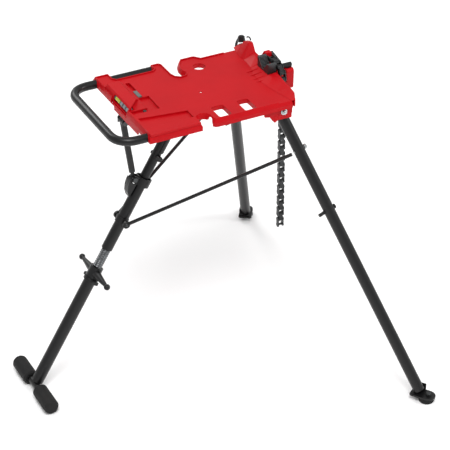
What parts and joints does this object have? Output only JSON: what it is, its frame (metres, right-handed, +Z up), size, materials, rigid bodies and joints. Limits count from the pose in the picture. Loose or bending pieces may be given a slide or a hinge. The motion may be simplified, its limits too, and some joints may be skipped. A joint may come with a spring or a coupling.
{
  "type": "tripod pipe vise stand",
  "caption": "Folding tripod stand with a slotted steel tool tray, carry handle and chain pipe vise with a tension crank, on braced tubular legs.",
  "frame": {"origin": "on the ground, under the middle of the footprint box", "axes": "+X from the carry handle towards the vise, +Y across the tray, +Z up"},
  "size_m": [1.0156, 1.149, 0.9054],
  "materials": {
    "red_paint": "semi-gloss enamel, worn at the rims",
    "black_paint": "satin black paint",
    "dark_steel": "oiled dark steel",
    "bright_steel": "zinc plated",
    "rubber": "matt moulded rubber",
    "vial_liquid": "clear green acrylic",
    "grey_plastic": "moulded plastic"
  },
  "bodies": {
    "stand_top": {"tool_tray": "red_paint", "level_housing": "red_paint", "level_vial": "vial_liquid", "slot_insert": "grey_plastic", "pocket_screw": "dark_steel", "carry_handle": "black_paint", "vise_saddle": "red_paint", "jaw_left": "dark_steel", "jaw_right": "dark_steel", "vise_body": "red_paint", "pressure_plate": "dark_steel", "brace_strap": "black_paint", "post_bail": "black_paint", "chain_top": "dark_steel", "rear_bracket": "black_paint", "rear_pin": "dark_steel", "strut_bracket": "black_paint", "strut_pin": "dark_steel", "leg_bracket_left": "red_paint", "hinge_bolt_left": "bright_steel", "leg_pin_left": "dark_steel", "leg_bracket_right": "red_paint", "hinge_bolt_right": "bright_steel", "leg_pin_right": "dark_steel"},
    "tension_crank": {"crank_hub": "black_paint", "crank_arm": "red_paint"},
    "brace_screw": {"brace_knob": "black_paint"},
    "upper_chain": {"chain_upper": "dark_steel"},
    "lower_chain": {"chain_lower": "dark_steel"},
    "rear_leg": {"rear_upper_tube": "black_paint", "upper_clamp": "black_paint", "cross_bolt": "black_paint", "leg_sleeve": "black_paint", "brace_bracket": "black_paint"},
    "lower_leg": {"levelling_thread": "dark_steel", "flange": "black_paint", "lower_tube": "black_paint", "t_bar": "black_paint", "boot_left": "rubber", "boot_right": "rubber"},
    "wing": {"wing_nut": "black_paint"},
    "swing_strut": {"strut": "black_paint"},
    "collar": {"slide_collar": "black_paint", "collar_pin": "dark_steel"},
    "front_leg_left": {"front_leg_left": "black_paint", "brace_pin_left": "bright_steel", "peg_left": "black_paint", "foot_plate_left": "black_paint", "foot_pad_left": "rubber", "foot_bolt_left": "dark_steel"},
    "ball_left": {"ball_end_left": "dark_steel"},
    "brace_left": {"brace_rod_left": "black_paint"},
    "front_leg_right": {"front_leg_right": "black_paint", "brace_pin_right": "bright_steel", "peg_right": "black_paint", "foot_plate_right": "black_paint", "foot_pad_right": "rubber", "foot_bolt_right": "dark_steel"},
    "ball_right": {"ball_end_right": "dark_steel"},
    "brace_right": {"brace_rod_right": "black_paint"}
  },
  "joints": [
    {"name": "rear_fold", "type": "hinge", "parent": "stand_top", "child": "rear_leg", "pos_m": [-0.03488, 0, 0.83], "axis": [0, 1, 0], "range_deg": [0, 54.43]},
    {"name": "strut_swing", "type": "hinge", "parent": "stand_top", "child": "swing_strut", "pos_m": [-0.18584, 0, 0.8103], "axis": [0, 1, 0], "range_deg": [0, 94.89]},
    {"name": "collar_tilt", "type": "hinge", "parent": "swing_strut", "child": "collar", "pos_m": [-0.16051, 0, 0.62199], "axis": [0, 1, 0], "range_deg": [-40.46, 0]},
    {"name": "front_fold_left", "type": "hinge", "parent": "stand_top", "child": "front_leg_left", "pos_m": [0.21361, 0.14679, 0.8115], "axis": [0.085, 0.8364, 0.5416], "range_deg": [0, 103.55]},
    {"name": "ball_turn_left", "type": "hinge", "parent": "rear_leg", "child": "ball_left", "pos_m": [-0.19896, 0.02984, 0.49691], "axis": [-0.8773, 0.4799, 0], "range_deg": [-49.84, 0]},
    {"name": "brace_turn_left", "type": "hinge", "parent": "ball_left", "child": "brace_left", "pos_m": [-0.19896, 0.02984, 0.49691], "axis": [-0.4107, 0.3002, 0.8609], "range_deg": [0, 21.59]},
    {"name": "front_fold_right", "type": "hinge", "parent": "stand_top", "child": "front_leg_right", "pos_m": [0.21361, -0.14679, 0.8115], "axis": [-0.085, 0.8364, -0.5416], "range_deg": [0, 103.55]},
    {"name": "ball_turn_right", "type": "hinge", "parent": "rear_leg", "child": "ball_right", "pos_m": [-0.19896, -0.02984, 0.49691], "axis": [0.8773, 0.4799, 0], "range_deg": [-49.84, 0]},
    {"name": "brace_turn_right", "type": "hinge", "parent": "ball_right", "child": "brace_right", "pos_m": [-0.19896, -0.02984, 0.49691], "axis": [0.4107, 0.3002, -0.8609], "range_deg": [0, 21.59]},
    {"name": "level_slide", "type": "slide", "parent": "rear_leg", "child": "lower_leg", "axis": [-0.517, 0, -0.856], "range_m": [-0.045, 0.1]},
    {"name": "wing_turn", "type": "hinge", "parent": "lower_leg", "child": "wing", "pos_m": [-0.28817, 0, 0.34921], "axis": [-0.517, 0, -0.856], "range_deg": [-2700.5, 6000.5]},
    {"name": "crank_turn", "type": "hinge", "parent": "stand_top", "child": "tension_crank", "pos_m": [0.30512, -0.024, 0.872], "axis": [1, 0, 0], "continuous": true},
    {"name": "brace_knob_turn", "type": "hinge", "parent": "stand_top", "child": "brace_screw", "pos_m": [0.25312, 0.15, 0.876], "axis": [0, 0.2095, 0.9778], "continuous": true},
    {"name": "chain_swing_upper", "type": "hinge", "parent": "stand_top", "child": "upper_chain", "pos_m": [0.27352, -0.055, 0.85], "axis": [1, 0, 0], "range_deg": [-20, 20]},
    {"name": "chain_swing_lower", "type": "hinge", "parent": "upper_chain", "child": "lower_chain", "pos_m": [0.27352, -0.055, 0.5938], "axis": [1, 0, 0], "range_deg": [-20, 20]}
  ],
  "couplings": [
    {"joint": "strut_swing", "follows": "rear_fold", "ratio": 1.7429},
    {"joint": "collar_tilt", "follows": "rear_fold", "ratio": -0.74289},
    {"joint": "front_fold_left", "follows": "rear_fold", "ratio": 1.902},
    {"joint": "ball_turn_left", "follows": "rear_fold", "ratio": -0.91523},
    {"joint": "brace_turn_left", "follows": "rear_fold", "ratio": 0.39633},
    {"joint": "front_fold_right", "follows": "rear_fold", "ratio": 1.902},
    {"joint": "ball_turn_right", "follows": "rear_fold", "ratio": -0.91523},
    {"joint": "brace_turn_right", "follows": "rear_fold", "ratio": 0.39633},
    {"joint": "wing_turn", "follows": "level_slide", "rad_per_m": 1047.2}
  ]
}
